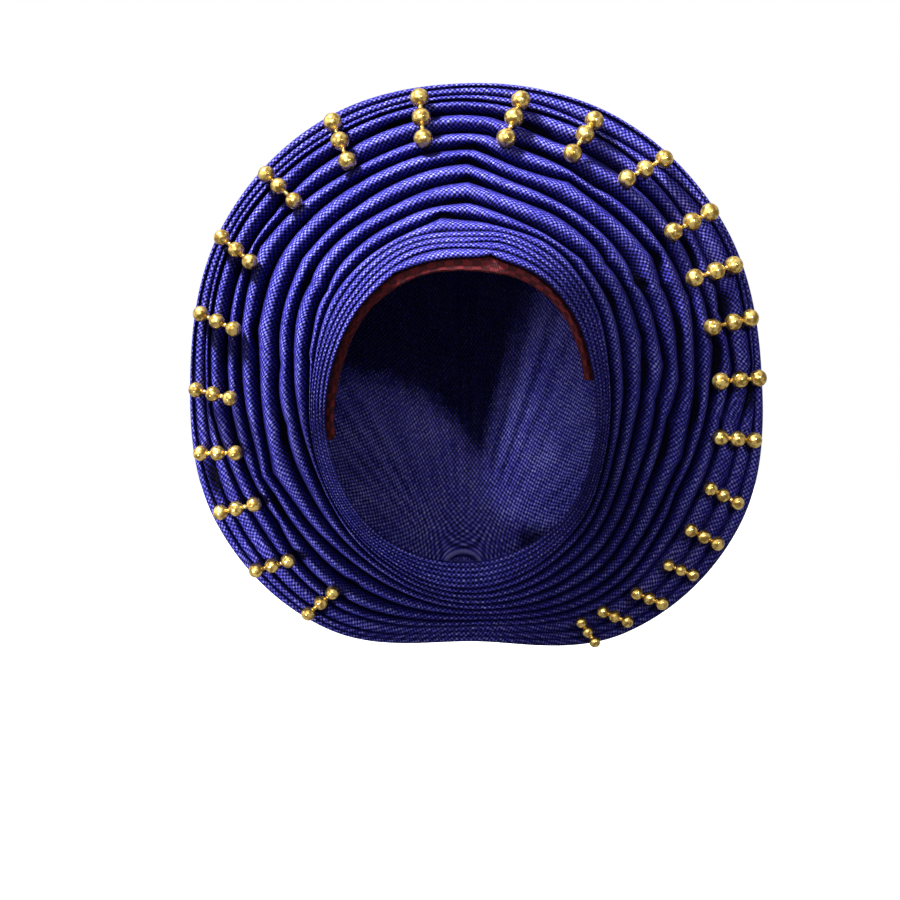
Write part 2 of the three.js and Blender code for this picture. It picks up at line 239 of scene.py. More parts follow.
# the flare that the crests touch, moved behind it: the depth rises from the inner edge to the rim
# as 1 - (1 - share)^power; the move is straight back, or along the normal where isTurned is 1
def flarePoint(clock, share, behind, isTurned=0):
    inner, rim = roundClock(edges["innerRadius"], clock), roundClock(edges["rimRadius"], clock)
    near, far = roundClock(edges["innerDepth"], clock), roundClock(edges["rimDepth"], clock)
    left = np.clip(1 - share, 0, 1)
    width, drop, power = rim - inner, far - near, fan["flarePower"]
    depth = near + drop * (1 - left**power)
    slope = drop * power * left ** (power - 1) / width
    turned = isTurned * slope * smoothStep(share, 0, fan["straightBackShare"])
    length = np.hypot(turned, 1)
    radius = inner + width * share - behind * turned / length
    return placeAt(clock, radius, depth + behind / length)


# degrees between two clock angles, the short way round
def clockAway(clock, place):
    return np.abs(np.mod(clock - place + 180, 360) - 180)


# how far each point of a fold is inside a pocket, 0 to 1: exp(-x^2) over the clock, times
# exp(-x^4) over the distance from the groove
def pocketShare(fold, clock, distance):
    share = np.zeros(distance.shape)
    for groove, place, width, spread in pocketRows:
        if groove == fold:
            near = clockAway(clock, place)[:, None] / spread
            share += np.exp(-(near**2) - (distance / width) ** 4)
    return np.clip(share, 0, 1)


# share of the ring's width at which each groove lies, for each clock angle, and the folds' widths
# in mm; a kink is a peak of exp(-|x|)
def grooveShares(clock):
    widths = np.stack([roundClock(row[1], clock) for row in foldRows], -1)
    ringWidth = roundClock(edges["rimRadius"], clock) - roundClock(edges["innerRadius"], clock)
    widths *= (ringWidth / widths.sum(-1))[:, None]
    grooves = np.concatenate([np.zeros((len(clock), 1)), np.cumsum(widths, -1)], -1)
    for groove, place, shift, spread in kinkRows:
        grooves[:, groove] += shift * np.exp(-clockAway(clock, place) / spread)
    for groove in range(1, foldCount):
        outside = grooves[:, groove + 1] - grooves[:, groove]
        inside = grooves[:, groove] - grooves[:, groove - 1]
        sway = fan["wander"] * clockWaves(fan["wanderSeed"] + groove, clock, *fan["wanderWaves"])
        grooves[:, groove] += sway * smoothStep(np.minimum(outside, inside), *fan["wanderFade"])
    grooves = np.maximum.accumulate(grooves, -1)
    return grooves / ringWidth[:, None], np.diff(grooves, axis=-1)


# how deep the groove is on each side of every fold: a share of a neighbour's width, whichever is
# deeper, up to a limit
def grooveDepths(widths):
    grooveShare = [fan["grooveShare"][kind] for kind, _ in foldRows]
    own = np.minimum(widths * grooveShare, fan["deepestGroove"])
    between = np.maximum(own[:, 1:], own[:, :-1])
    return np.concatenate([own[:, :1], between, between[:, -1:]], -1)


# one skin of the fan: a roll's crest lies outside its middle and a rim fold's inside it; from the
# crest the inner flank sinks as a power of the distance and the outer one as a quarter circle, and
# the back is a plain V
def fanSkin(clock, samples, behind, isRound):
    shares, widths = grooveShares(clock)
    depths = grooveDepths(widths)
    points, folds, paintedGrooveShades = [], [], []
    for i, (kind, _) in enumerate(foldRows):
        last = i == foldCount - 1
        v = np.linspace(0, 1, samples[kind] + 1)[None, : None if last else -1]
        if isRound:
            swing = np.cos(math.pi * v)
            v = 0.5 - 0.5 * swing * (1 - fan["crowding"] + fan["crowding"] * np.abs(swing))
        crest = fan["crestPlace"][kind] if isRound else 0.5
        s = np.where(v < crest, (crest - v) / crest, (v - crest) / (1 - crest))
        quarter = 1 - np.sqrt(np.clip(1 - s**2, 0, 1))
        sink = np.where(v < crest, s ** fan["innerFlank"], quarter) if isRound else s
        side = np.where(v < crest, depths[:, i, None], depths[:, i + 1, None])
        share = shares[:, i, None] + v * (shares[:, i + 1, None] - shares[:, i, None])
        waves = clockWaves(fan["rippleSeed"] + i, clock, *fan["rippleWaves"])
        swell = fan["ripple"] * waves[:, None] * (1 - s**2)
        swell = swell * smoothStep(widths[:, i, None], *fan["rippleFade"])
        wide = np.broadcast_to(clock[:, None], share.shape)
        pocket = pocketShare(i, clock, v * widths[:, i, None])
        back = behind + sink * side + pocket * (1 - sink) * fan["pocketDepth"]
        points.append(flarePoint(wide, share, back - (swell if isRound else 0)))
        folds += [i] * v.shape[1]
        # painted shade: darker where the cloth sinks into a groove and in the pockets
        paintedGrooveShades.append(sink * fan["shade"][kind] + pocket * fan["pocketShade"])
    return np.concatenate(points, 1), np.array(folds), np.concatenate(paintedGrooveShades, 1)


# puts a grid of points into a mesh, closed round the second axis, and round the first as well
# unless closeRows is False
def gridMesh(name, points, closeRows=True, uv=None, sink=None):
    rows, columns = points.shape[:2]
    i = np.arange(rows if closeRows else rows - 1)[:, None]
    j = np.arange(columns)[None, :]
    ni, nj = (i + 1) % rows, (j + 1) % columns
    quads = np.stack([i * columns + j, i * columns + nj, ni * columns + nj, ni * columns + j], -1)
    quads = quads.reshape(-1, 4)
    mesh = bpy.data.meshes.new(name)
    mesh.vertices.add(rows * columns)
    mesh.vertices.foreach_set("co", (points * mm).astype(np.float32).ravel())
    mesh.loops.add(quads.size)
    mesh.loops.foreach_set("vertex_index", quads.astype(np.int32).ravel())
    mesh.polygons.add(len(quads))
    mesh.polygons.foreach_set("loop_start", np.arange(0, quads.size, 4, dtype=np.int32))
    mesh.polygons.foreach_set("use_smooth", np.ones(len(quads), bool))
    if uv is not None:
        layer = mesh.uv_layers.new(name="cloth")
        layer.data.foreach_set("uv", uv.astype(np.float32).ravel())
    # the sink attribute carries painted groove and pocket shade for the cloth's colour
    if sink is not None:
        attribute = mesh.attributes.new("sink", "FLOAT", "POINT")
        attribute.data.foreach_set("value", sink.astype(np.float32).ravel())
    mesh.update(calc_edges=True)
    mesh.validate()
    turnOutwards(mesh)
    piece = bpy.data.objects.new(name, mesh)
    bpy.context.scene.collection.objects.link(piece)
    return piece


# a mesh's points as an array, in metres
def meshPoints(mesh):
    points = np.zeros(len(mesh.vertices) * 3, np.float32)
    mesh.vertices.foreach_get("co", points)
    return points.reshape(-1, 3).astype(float)


# flips the polygons if the volume inside comes out negative: the sum of a . (b x c) over triangles
def turnOutwards(mesh):
    points = meshPoints(mesh)
    mesh.calc_loop_triangles()
    tri = np.zeros(len(mesh.loop_triangles) * 3, np.int32)
    mesh.loop_triangles.foreach_get("vertices", tri)
    a, b, c = (points[tri.reshape(-1, 3)[:, k]] for k in range(3))
    if np.einsum("ij,ij->i", a, np.cross(b, c)).sum() < 0:
        mesh.flip_normals()


# the cloth coordinates of each quad's four corners: along has one row more than the grid, and
# acrossNear and acrossFar are the distances across at the two ends of each quad
def cornerUv(along, acrossNear, acrossFar):
    rows, columns = acrossNear.shape
    near, far = along[:-1], along[1:]
    lastRow = np.roll(acrossNear, -1, 0), np.roll(acrossFar, -1, 0)
    corners = [
        np.stack([near, acrossNear], -1),
        np.stack([near, acrossFar], -1),
        np.stack([far, lastRow[1]], -1),
        np.stack([far, lastRow[0]], -1),
    ]
    return np.stack(corners, 2).reshape(rows * columns * 4, 2)


# an output socket of a node tree; sums, differences, products and powers of wires add Math nodes
class Wire:
    def __init__(self, tree, socket=None):
        self.tree, self.socket = tree, socket

    # a new node of any kind: its settings, the values or wires of its sockets, and its output
    def add(self, kind, settings=None, sockets=None, output=0):
        node = self.tree.nodes.new(kind)
        for name, value in (settings or {}).items():
            if name == "stops":
                self.setStops(node.color_ramp, value)
            else:
                setattr(node, name, value)
        for name, value in (sockets or {}).items():
            if isinstance(value, Wire):
                self.tree.links.new(value.socket, node.inputs[name])
            else:
                node.inputs[name].default_value = value
        return Wire(self.tree, node.outputs[output])

    # puts stops, each a place and a colour, on a ramp that starts with two of them
    def setStops(self, ramp, stops):
        for place, _ in stops[1:-1]:
            ramp.elements.new(place)
        for element, (place, color) in zip(ramp.elements, stops):
            element.position = place
            element.color = (*color, 1)

    # a Math node over up to two values or wires
    def combine(self, operation, *values):
        return self.add("ShaderNodeMath", {"operation": operation}, dict(enumerate(values)))

    def __add__(self, other):
        return self.combine("ADD", self, other)

    __radd__ = __add__

    def __mul__(self, other):
        return self.combine("MULTIPLY", self, other)

    __rmul__ = __mul__

    def __sub__(self, other):
        return self.combine("SUBTRACT", self, other)

    def __rsub__(self, other):
        return self.combine("SUBTRACT", other, self)

    def __pow__(self, other):
        return self.combine("POWER", self, other)

    def cos(self):
        return self.combine("COSINE", self)

    # cloudy noise between 0 and 1 over the given coordinates
    def noise(self, place, scale, detail):
        sockets = {"Vector": place, "Scale": scale, "Detail": detail}
        return self.add("ShaderNodeTexNoise", {}, sockets)

    # 0 below low and 1 above high, smoothly between
    def between(self, low, high):
        sockets = {"Value": self, "From Min": low, "From Max": high}
        return self.add("ShaderNodeMapRange", {"interpolation_type": "SMOOTHSTEP"}, sockets)

    # a blend of two colours, each a wire or three numbers, by this wire's value
    def mix(self, first, second):
        colors = [color if isinstance(color, Wire) else (*color, 1) for color in (first, second)]
        sockets = {0: self, 6: colors[0], 7: colors[1]}
        return self.add("ShaderNodeMix", {"data_type": "RGBA"}, sockets, 2)


# an empty material with its Principled shader, and a wire to start its node tree from
def newMaterial(name, fixed):
    material = bpy.data.materials.new(name)
    material.use_nodes = True
    shader = material.node_tree.nodes["Principled BSDF"]
    for socket, value in fixed.items():
        shader.inputs[socket].default_value = value
    return material, shader, Wire(material.node_tree)


# links a wire to one of the shader's sockets
def feed(shader, socket, wire):
    wire.tree.links.new(wire.socket, shader.inputs[socket])


# lengths on the cloth are in mm; the stops are height and colour, from the pits to the threads' tops: the
# darkest stops carry painted shade, between the threads and in the grooves, and the palest is a painted
# sparkle highlight
blueCloth = {
    "stops": [
        (0.22, (0.0004, 0.0004, 0.006)),
        (0.46, (0.010, 0.008, 0.125)),
        (0.68, (0.057, 0.052, 0.45)),
        (0.90, (0.37, 0.37, 0.74)),
    ],
    "specular": 0.08,
    "pitchAlong": 2.55,
    "pitchAcross": 3.0,
    "sway": 1.6,
    "swayScale": 0.11,
    "pit": 0.62,
    "pitPower": 1.7,
    "level": 0.80,
    "grain": 0.6,
    "grainScale": 0.55,
    "patches": 0.25,
    "patchScale": 0.04,
    # creaseShade is how far the painted groove shade darkens the colour
    "creaseShade": 0.42,
    "roughness": 0.72,
    "polish": 0.3,
    "bump": 0.9,
    "bumpDepth": 0.0004,
    "bumpGrain": 0.5,
    "bumpFine": 0.2,
    "fineScale": 2.6,
}


# birdseye weave: the height is a level, less a pit of (0.5 - 0.5 * cos(along) * cos(across))^power,
# plus an uneven grain, less the fold's sink, which is painted shade in the grooves and pockets; the
# colour goes from near black in the pits, painted shade between the threads, through blue, to a pale
# painted sparkle highlight on the highest threads
def clothMaterial(name, look):
    material, shader, start = newMaterial(name, {"Specular IOR Level": look["specular"]})
    uv = start.add("ShaderNodeUVMap", {"uv_map": "cloth"})
    along = start.add("ShaderNodeSeparateXYZ", {}, {"Vector": uv}, "X")
    across = start.add("ShaderNodeSeparateXYZ", {}, {"Vector": uv}, "Y")
    drift = start.noise(uv, look["swayScale"], 1.0)
    sway = (drift - 0.5) * look["sway"]
    rows = ((along + sway) * (turn / look["pitchAlong"])).cos()
    columns = ((across + sway) * (turn / look["pitchAcross"])).cos()
    lattice = rows * columns
    pit = (0.5 - lattice * 0.5) ** look["pitPower"]
    grain = start.noise(uv, look["grainScale"], 3.0)
    patches = start.noise(uv, look["patchScale"], 2.0)
    # the sink attribute is painted shade: it darkens the colour in the grooves and pockets
    sink = start.add("ShaderNodeAttribute", {"attribute_name": "sink"}, {}, "Fac")
    uneven = (grain - 0.5) * look["grain"] + (patches - 0.5) * look["patches"]
    height = look["level"] - pit * look["pit"] + uneven - sink * look["creaseShade"]
    shade = start.add("ShaderNodeValToRGB", {"stops": look["stops"]}, {"Fac": height})
    feed(shader, "Base Color", shade)
    feed(shader, "Roughness", look["roughness"] - height * look["polish"])
    fine = start.noise(uv, look["fineScale"], 2.0)
    relief = 1 - pit + grain * look["bumpGrain"] + fine * look["bumpFine"]
    bump = {"Strength": look["bump"], "Distance": look["bumpDepth"], "Height": relief}
    feed(shader, "Normal", start.add("ShaderNodeBump", {}, bump))
    return material


# the pleated fan: a fine round front skin and a plain back skin, joined at both edges
def makePleatedFan(material):
    count = fan["stations"]
    clock = np.linspace(-180, 180, count, endpoint=False)
    front, folds, sink = fanSkin(clock, fan["samples"], 0, True)
    back, _, backSink = fanSkin(clock, fan["backSamples"], fan["wall"], False)
    points = np.concatenate([front, back[:, ::-1]], 1)
    steps = np.linalg.norm(np.roll(points, -1, 1) - points, axis=-1)
    acrossFar = np.cumsum(steps, 1)
    acrossNear = acrossFar - steps
    foldOf = np.concatenate([folds, folds[-1:], np.full(back.shape[1] - 1, foldCount)])
    along = np.zeros((count + 1, points.shape[1]))
    for fold in np.unique(foldOf):
        columns = foldOf == fold
        middle = points[:, columns].mean(1)
        lengths = np.linalg.norm(np.roll(middle, -1, 0) - middle, axis=-1)
        along[1:, columns] = np.cumsum(lengths)[:, None]
    # the weave's rows start afresh in each fold, as the cloth's do
    uv = cornerUv(along + fan["weaveStart"] * foldOf, acrossNear, acrossFar)
    # painted groove shade on the front skin, none on the back skin
    sink = np.concatenate([sink, 0 * backSink], 1)
    piece = gridMesh("pleatedFan", points, uv=uv, sink=sink)
    piece.data.materials.append(material)
    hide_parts("pleated_fan")
    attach(piece, "root")
    rim = front.shape[1] - 1
    across, around = acrossNear[:, rim].mean(), along[-1, rim]
    print("pleated fan made:", round(across), "mm over its pleats and", round(around), "mm round its rim")


# gathers and wideGathers are waves counted round the clock, and their sways shift them sideways
wrap = {
    "stations": 360,
    "steps": 64,
    "nape": (0, 114, -205),
    "holeRadius": 9.5,
    "wall": 2.0,
    "tuck": 1.15,
    "gap": 0.35,
    "gathers": 34,
    "gatherSway": 3,
    "gatherHeight": 4.5,
    "wideGathers": 21,
    "wideSway": 5,
    "wideShare": 0.6,
    "swaySeed": 11,
    "swayWaves": (3, 9),
    "sway": 0.9,
    "bend": 0.25,
    "bendRate": 5,
}


# behind the rim the depth rises as the sine of a quarter turn, while the outline shrinks to the
# nape as a power of its cosine; the gathers are uneven radial waves, highest half way
def wrapSkin(clock, steps, inset):
    clock, step = np.meshgrid(clock, steps, indexing="ij")
    flat = clock[:, 0]
    _, widths = grooveShares(flat)
    start = roundClock(edges["rimDepth"], flat) + grooveDepths(widths)[:, -1]
    start = (start + fan["wall"] + wrap["gap"])[:, None]
    shrink = np.clip(np.cos(step * math.pi / 2), 0, 1) ** wrap["tuck"]
    rise = np.sin(step * math.pi / 2)
    napeX, napeY, napeZ = wrap["nape"]
    angle = np.radians(clock)
    rim = placeAt(clock, roundClock(edges["rimRadius"], clock) - inset, 0)
    holeX = napeX + np.sin(angle) * wrap["holeRadius"]
    holeZ = napeZ + np.cos(angle) * wrap["holeRadius"]
    hole = np.stack([holeX, 0 * angle, holeZ], -1)
    place = hole + (rim - hole) * shrink[..., None]
    waves = clockWaves(wrap["swaySeed"], flat, *wrap["swayWaves"])
    sway = waves[:, None] * wrap["sway"] + wrap["bend"] * np.sin(step * wrap["bendRate"])
    close = np.cos(angle * wrap["gathers"] + sway * wrap["gatherSway"])
    wide = np.cos(angle * wrap["wideGathers"] + sway * wrap["wideSway"])
    ridges = close + wrap["wideShare"] * wide
    gather = wrap["gatherHeight"] * ridges * step * (1 - step)
    place[..., 0] += np.sin(angle) * gather * shrink
    place[..., 2] += np.cos(angle) * gather * shrink
    place[..., 1] = start + (napeY - inset - start) * rise + gather * rise
    return place


# the weave's coordinates are the distance from the nape along the cloth, laid out flat round it
def makeBackWrap(material):
    clock = np.linspace(-180, 180, wrap["stations"], endpoint=False)
    steps = np.linspace(0, 1, wrap["steps"])
    outer = wrapSkin(clock, steps, 0)
    inner = wrapSkin(clock, steps[::2], wrap["wall"])
    fromNape = []
    for skin in (outer, inner):
        lengths = np.linalg.norm(np.diff(skin[:, ::-1], axis=1), axis=-1)
        distance = np.concatenate([np.zeros((len(clock), 1)), np.cumsum(lengths, 1)], 1)
        fromNape.append(distance[:, ::-1])
    points = np.concatenate([outer, inner[:, ::-1]], 1)
    reach = np.concatenate([fromNape[0], fromNape[1][:, ::-1]], 1)
    angle = np.radians(clock)[:, None]
    flat = np.stack([reach * np.sin(angle), reach * np.cos(angle)], -1)
    ahead, beside = np.roll(flat, -1, 0), np.roll(flat, -1, 1)
    corners = np.stack([flat, beside, np.roll(ahead, -1, 1), ahead], 2)
    piece = gridMesh("backWrap", points, uv=corners.reshape(-1, 2))
    piece.data.materials.append(material)
    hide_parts("back_wrap")
    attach(piece, "root")
    print("back wrap made:", round(reach[:, 0].max()), "mm from the nape to the rim at most")


# lengths in mm: showing is how much of the band is seen at each edge row's clock angle, hidden is
# the rest of its width, and startBehind and endBehind are its two edges' depths behind the flare
band = {
    "from": -115,
    "to": 95,
    "stations": 211,
    "samples": 13,
    "wall": 1.8,
    "showing": (4.5, 4.5, 4.5, 4.5, 5.5, 6.5, 6.5, 5.5, 4.5, 4.5, 4.5, 4.5, 4.5),
    "hidden": 7.5,
    "startBehind": 3.9,
    "endBehind": 6.4,
    "tipSharpness": 1.6,
    "wave": 0.35,
    "waveSeed": 5,
    "waves": (9, 30),
}

maroonCloth = {
    "light": (0.28, 0.03, 0.04),
    "faded": (0.20, 0.024, 0.032),
    "dark": (0.07, 0.010, 0.014),
    "specular": 0.25,
    "checkAlong": 4.7,
    "checkAcross": 3.2,
    "checkEdge": 0.15,
    "ragged": 0.6,
    "grainScale": 0.9,
    "patchScale": 0.2,
    "patchEdges": (0.35, 0.65),
    "rib": 0.9,
    "ribHeight": 0.5,
    "roughness": 0.7,
    "unevenness": 0.2,
    "bump": 0.5,
    "bumpDepth": 0.0002,
}


# checks of darker cloth, where cos(along) * cos(across) plus a ragged grain is above 0, with fine
# ribs across the band in the bump
def maroonMaterial(look):
    material, shader, start = newMaterial("maroonCloth", {"Specular IOR Level": look["specular"]})
    uv = start.add("ShaderNodeUVMap", {"uv_map": "cloth"})
    along = start.add("ShaderNodeSeparateXYZ", {}, {"Vector": uv}, "X")
    across = start.add("ShaderNodeSeparateXYZ", {}, {"Vector": uv}, "Y")
    grain = start.noise(uv, look["grainScale"], 3.0)
    rows = (along * (math.pi / look["checkAlong"])).cos()
    checks = rows * (across * (math.pi / look["checkAcross"])).cos()
    edge = look["checkEdge"]
    dark = (checks + (grain - 0.5) * look["ragged"]).between(-edge, edge)
    ribs = (along * (turn / look["rib"])).cos()
    patches = start.noise(uv, look["patchScale"], 1.0)
    light = patches.between(*look["patchEdges"]).mix(look["light"], look["faded"])
    feed(shader, "Base Color", dark.mix(light, look["dark"]))
    feed(shader, "Roughness", look["roughness"] + grain * look["unevenness"])
    relief = ribs * look["ribHeight"] + grain
    bump = {"Strength": look["bump"], "Distance": look["bumpDepth"], "Height": relief}
    feed(shader, "Normal", start.add("ShaderNodeBump", {}, bump))
    return material


# a strip that starts inside the fan's inner edge and slopes away behind the first folds; its
# section is a thin flat loop with rounded edges, and its two ends close to a point
def makeInnerBand(material):
    clock = np.linspace(band["from"], band["to"], band["stations"])
    flat = np.linspace(0, 1, band["samples"])
    edge = np.array([0.25, 0.5, 0.75]) * math.pi
    halfWall = band["wall"] / 2
    showing = roundClock(band["showing"], clock)[:, None]
    reach = showing + band["hidden"]
    tip = halfWall / (band["hidden"] * band["tipSharpness"])
    acrossBand = np.concatenate([
        tip + flat * (1 - 2 * tip),
        1 - tip + np.sin(edge) * tip,
        (1 - tip) - flat * (1 - 2 * tip),
        tip - np.sin(edge) * tip,
    ])
    throughBand = np.concatenate([
        0 * flat,
        halfWall - np.cos(edge) * halfWall,
        0 * flat + band["wall"],
        halfWall + np.cos(edge) * halfWall,
    ])
    ring = (roundClock(edges["rimRadius"], clock) - roundClock(edges["innerRadius"], clock))[:, None]
    wave = band["wave"] * clockWaves(band["waveSeed"], clock, *band["waves"])[:, None]
    share = (-showing + wave * (1 - acrossBand) + acrossBand[None] * reach) / ring
    slope = band["endBehind"] - band["startBehind"]
    behind = band["startBehind"] + acrossBand[None] * slope + throughBand[None]
    wide = np.broadcast_to(clock[:, None], share.shape)
    points = flarePoint(wide, share, np.broadcast_to(behind, share.shape), 1)
    first, last = points[:1].mean(1, keepdims=True), points[-1:].mean(1, keepdims=True)
    first = np.broadcast_to(first, points[:1].shape)
    last = np.broadcast_to(last, points[:1].shape)
    points = np.concatenate([first, points, last], 0)
    lengths = np.linalg.norm(np.roll(points, -1, 1) - points, axis=-1)
    lengths[[0, -1]] = lengths[1]
    acrossFar = np.cumsum(lengths, 1)
    middle = points.mean(1)
    along = np.concatenate([[0], np.cumsum(np.linalg.norm(np.diff(middle, axis=0), axis=-1))])
    along = np.repeat(along[:, None], points.shape[1], 1)
    full = cornerUv(np.concatenate([along, along[-1:]]), acrossFar - lengths, acrossFar)
    uv = full.reshape(len(points), -1, 2)[:-1].reshape(-1, 2)
    piece = gridMesh("innerBand", points, closeRows=False, uv=uv)
    weldEnds(piece)
    piece.data.materials.append(material)
    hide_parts("inner_band")
    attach(piece, "root")
    print("inner band made:", round(along[-1, 0]), "mm long")


# joins the doubled points where a grid's rows shrink to one point
def weldEnds(piece):
    mesh = bmesh.new()
    mesh.from_mesh(piece.data)
    bmesh.ops.remove_doubles(mesh, verts=mesh.verts, dist=1e-6)
    mesh.to_mesh(piece.data)
    mesh.free()
    piece.data.update()


# lengths in mm; twists are ridges counted round the body, the belt is a band of cloth round its
# middle, and ridge, belt and beltCrease are heights as shares of the radius
knot = {
    "sides": 160,
    "rows": 96,
    "gap": 0.5,
    "neckRadius": 8.3,
    "neckTip": 6.7,
    "neckLength": 5.6,
    "neckRound": 0.8,
    "neckEnd": 0.3,
    "bodyRadius": 15.8,
    "bodyLength": 23.4,
    "bodyHeight": 0.97,
    "bluntness": 0.55,
    "twists": 7,
    "twistLean": 3.2,
    "twistSway": 0.6,
    "ridge": 0.045,
    "beltPlace": 0.52,
    "beltTilt": 0.25,
    "beltWidth": 0.34,
    "belt": 0.05,
    "beltCreases": 9,
    "beltCrease": 0.02,
}


# a tied knot: a short neck through the wrap's hole, then a body whose radius is the sine of v,
# raised to a power below one on its front half, plus ridges of twisted folds and a band round it
def makeNapeKnot(material):
    around = np.linspace(0, turn, knot["sides"] + 1)
    u = around[None, :-1]
    first = math.asin((knot["neckRadius"] / knot["bodyRadius"]) ** (1 / knot["bluntness"]))
    v = np.linspace(first, math.pi, knot["rows"])[:, None]
    lean = knot["twistLean"] * np.cos(v) + knot["twistSway"] * np.sin(2 * u)
    twist = np.cos(knot["twists"] * u + lean)
    middle = math.pi * knot["beltPlace"] + knot["beltTilt"] * np.sin(u)
    belt = np.exp(-((v - middle) / knot["beltWidth"]) ** 2)
    crease = knot["belt"] + knot["beltCrease"] * np.cos(knot["beltCreases"] * v + 2 * u)
    ridges = knot["ridge"] * twist * np.sin(v) * (1 - belt) + belt * crease
    power = np.where(v < math.pi / 2, knot["bluntness"], 1)
    radius = knot["bodyRadius"] * np.sin(v) ** power * (1 + ridges)
    half = knot["bodyLength"] / (1 + math.cos(first))
    napeX, napeY, napeZ = wrap["nape"]
    base = napeY + knot["gap"]
    depth = base + half * (math.cos(first) - np.cos(v)) + 0 * u
    tip, length, soft = knot["neckTip"], knot["neckLength"], knot["neckRound"]
    neckRadii = np.array([0, tip - soft, tip, knot["neckRadius"]])[:, None] + 0 * u
    neckDepths = base - np.array([length, length, length - soft, knot["neckEnd"]])[:, None] + 0 * u
    radius = np.concatenate([neckRadii, radius])
    depth = np.concatenate([neckDepths, depth])
    x = napeX + radius * np.cos(u)
    z = napeZ + radius * np.sin(u) * knot["bodyHeight"]
    runs = np.hypot(np.diff(radius.mean(1)), np.diff(depth.mean(1)))
    along = np.concatenate([[0], np.cumsum(runs)])[:, None] + 0 * around
    flat = np.stack([along, around * knot["bodyRadius"] + 0 * along], -1)
    corners = np.stack([flat[:-1, :-1], flat[:-1, 1:], flat[1:, 1:], flat[1:, :-1]], 2)
    points = np.stack([x, depth, z], -1)
    piece = gridMesh("napeKnot", points, closeRows=False, uv=corners.reshape(-1, 2))
    weldEnds(piece)
    piece.data.materials.append(material)
    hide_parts("nape_knot")
    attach(piece, "root")
    print("nape knot made:", round(depth.max() - depth.min()), "mm deep")


# lengths in mm
beads = {
    "sides": 28,
    "arcPoints": 17,
    "neck": 1.15,
    "fullness": 1.12,  # wider than the solid's beads by this factor
    "spacingShare": 0.495,  # but a radius is no more than this share of the closest spacing
    "tip": 1e-4,
}

goldLook = {
    "bright": (0.95, 0.68, 0.21),
    "dark": (0.36, 0.21, 0.04),
    "darkEdges": (0.4, 0.6),
    "metallic": 0.8,
    "roughness": 0.10,
    "unevenness": 0.14,
    "spotScale": 420.0,
    "bump": 0.45,
    "bumpDepth": 0.0002,
}


# polished gold with darker spots, where cloudy noise is high, which are painted dark reflections, a faint
# hammered bump from the same noise and slightly uneven gloss
def goldMaterial(look):
    material, shader, start = newMaterial("goldBead", {"Metallic": look["metallic"]})
    place = start.add("ShaderNodeTexCoord", {}, {}, "Object")
    spots = start.noise(place, look["spotScale"], 3.0)
    # the dark spots are painted dark reflections
    color = spots.between(*look["darkEdges"]).mix(look["bright"], look["dark"])
    feed(shader, "Base Color", color)
    feed(shader, "Roughness", look["roughness"] + spots * look["unevenness"])
    bump = {"Strength": look["bump"], "Distance": look["bumpDepth"], "Height": spots}
    feed(shader, "Normal", start.add("ShaderNodeBump", {}, bump))
    return material


# each strip's bead diameter, and how far the outer and the inner bead are from the middle one, in mm
beadRows = [
    (6.8, 8.7, 8.1), (7.0, 8.8, 8.8), (7.2, 8.4, 9.8), (7.2, 8.8, 9.4), (7.2, 9.1, 9.4),
    (7.4, 9.4, 9.7), (7.6, 9.9, 9.7), (7.8, 9.1, 11.2), (8.7, 10.8, 11.5), (8.9, 10.8, 11.4),
    (9.1, 10.0, 11.8), (8.9, 9.2, 12.1), (8.5, 11.4, 10.9), (8.7, 10.7, 11.3), (8.7, 10.1, 11.8),
    (8.5, 9.1, 11.1), (8.2, 9.6, 10.1), (7.8, 8.6, 9.0), (7.2, 8.5, 7.4), (6.8, 8.0, 7.6),
    (6.4, 6.7, 6.9), (6.4, 7.1, 7.1), (6.2, 7.0, 6.6), (5.7, 6.4, 6.1),
]


# the strip's line runs between the two points of its solid that are furthest apart; returns the
# inner bead's centre, the direction of the outer one and how far it is
def stripLine(node, diameter):
    points = meshPoints(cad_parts[node].data) / mm
    first = points[np.argmax(np.linalg.norm(points - points.mean(0), axis=1))]
    second = points[np.argmax(np.linalg.norm(points - first, axis=1))]
    centre = np.array([fanCentre["x"], 0, fanCentre["z"]])
    flat = np.array([1, 0, 1])
    if np.linalg.norm((first - centre) * flat) > np.linalg.norm((second - centre) * flat):
        first, second = second, first
    length = np.linalg.norm(second - first)
    line = (second - first) / length
    return first + line * diameter / 2, line, length - diameter


# three spheres turned about the strip's line and joined by necks: along each sphere the width is
# radius * sin(angle), from the end of one neck to the start of the next. A wider bead is moved
# forward by its extra radius, so that it stays just off the cloth
def makeBeadStrip(number, diameter, outer, inner, material):
    node = f"bead_strip_{number:02d}"
    start, line, reach = stripLine(node, diameter)
    closest = reach * min(inner, outer) / (inner + outer)
    radius = min(diameter / 2 * beads["fullness"], closest * beads["spacingShare"])
    start = start - np.array([0, max(radius - diameter / 2, 0), 0])
    join = math.asin(beads["neck"] / radius)
    along, width = [], []
    middle = reach * inner / (inner + outer)
    for centre, begin, end in ((0, 0, join), (middle, join, join), (reach, join, 0)):
        angle = np.linspace(begin, math.pi - end, beads["arcPoints"])
        along.append(centre - np.cos(angle) * radius)
        width.append(np.sin(angle) * radius)
    along, width = np.concatenate(along), np.maximum(np.concatenate(width), beads["tip"])
    side = np.cross(line, [0, 1, 0])
    side /= np.linalg.norm(side)
    up = np.cross(side, line)
    turnAngle = np.linspace(0, turn, beads["sides"], endpoint=False)
    around = np.cos(turnAngle)[:, None] * side + np.sin(turnAngle)[:, None] * up
    points = start + along[:, None, None] * line + width[:, None, None] * around[None]
    piece = gridMesh(f"beadStrip{number:02d}", points, closeRows=False)
    weldEnds(piece)
    piece.data.materials.append(material)
    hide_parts(node)
    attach(piece, "root")


# x and z are the camera's place in mm; distance, in metres, is from the plane y = 0
view = {
    "distance": 2.0,
    "x": -6.734,
    "z": -137.27,
    "millimetresPerPixel": 0.518,
    "pixels": 900,
    "sensor": 36.0,
    "clipEnd": 100,
}


